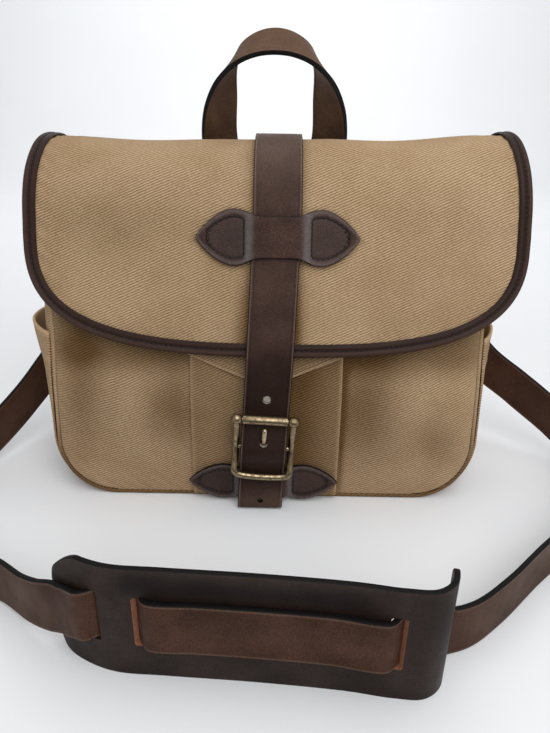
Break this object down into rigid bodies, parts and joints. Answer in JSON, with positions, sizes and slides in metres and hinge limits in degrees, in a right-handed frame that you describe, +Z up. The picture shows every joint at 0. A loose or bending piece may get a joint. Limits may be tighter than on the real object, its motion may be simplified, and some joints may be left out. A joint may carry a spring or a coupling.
{
  "type": "canvas field bag",
  "caption": "Canvas field bag with a leather-bound flap held by a strap and roller buckle, a top handle, side pockets and a leather shoulder strap with a slotted pad.",
  "frame": {"origin": "on the floor under the middle of the bag's flat bottom", "axes": "+X to the bag's right as seen from its front, -Y out of the front, +Z up"},
  "size_m": [0.4972, 0.305, 0.3242],
  "materials": {
    "canvas": "matte twill",
    "leather": "oiled, satin",
    "brass": "antiqued"
  },
  "bodies": {
    "root": {"front_panel": "canvas", "back_panel": "canvas", "gusset": "canvas", "front_piping": "canvas", "back_piping": "canvas", "pocket_pleat": "canvas", "pocket_flap": "canvas", "side_pocket_left": "canvas", "side_pocket_right": "canvas", "flap": "canvas", "flap_binding": "leather", "closure_strap": "leather", "upper_keeper": "leather", "buckle_patch": "leather", "buckle_chape": "leather", "handle": "leather", "shoulder_pad": "leather", "shoulder_strap": "leather", "buckle_frame": "brass", "buckle_roller": "brass", "buckle_prong": "brass"}
  },
  "joints": []
}
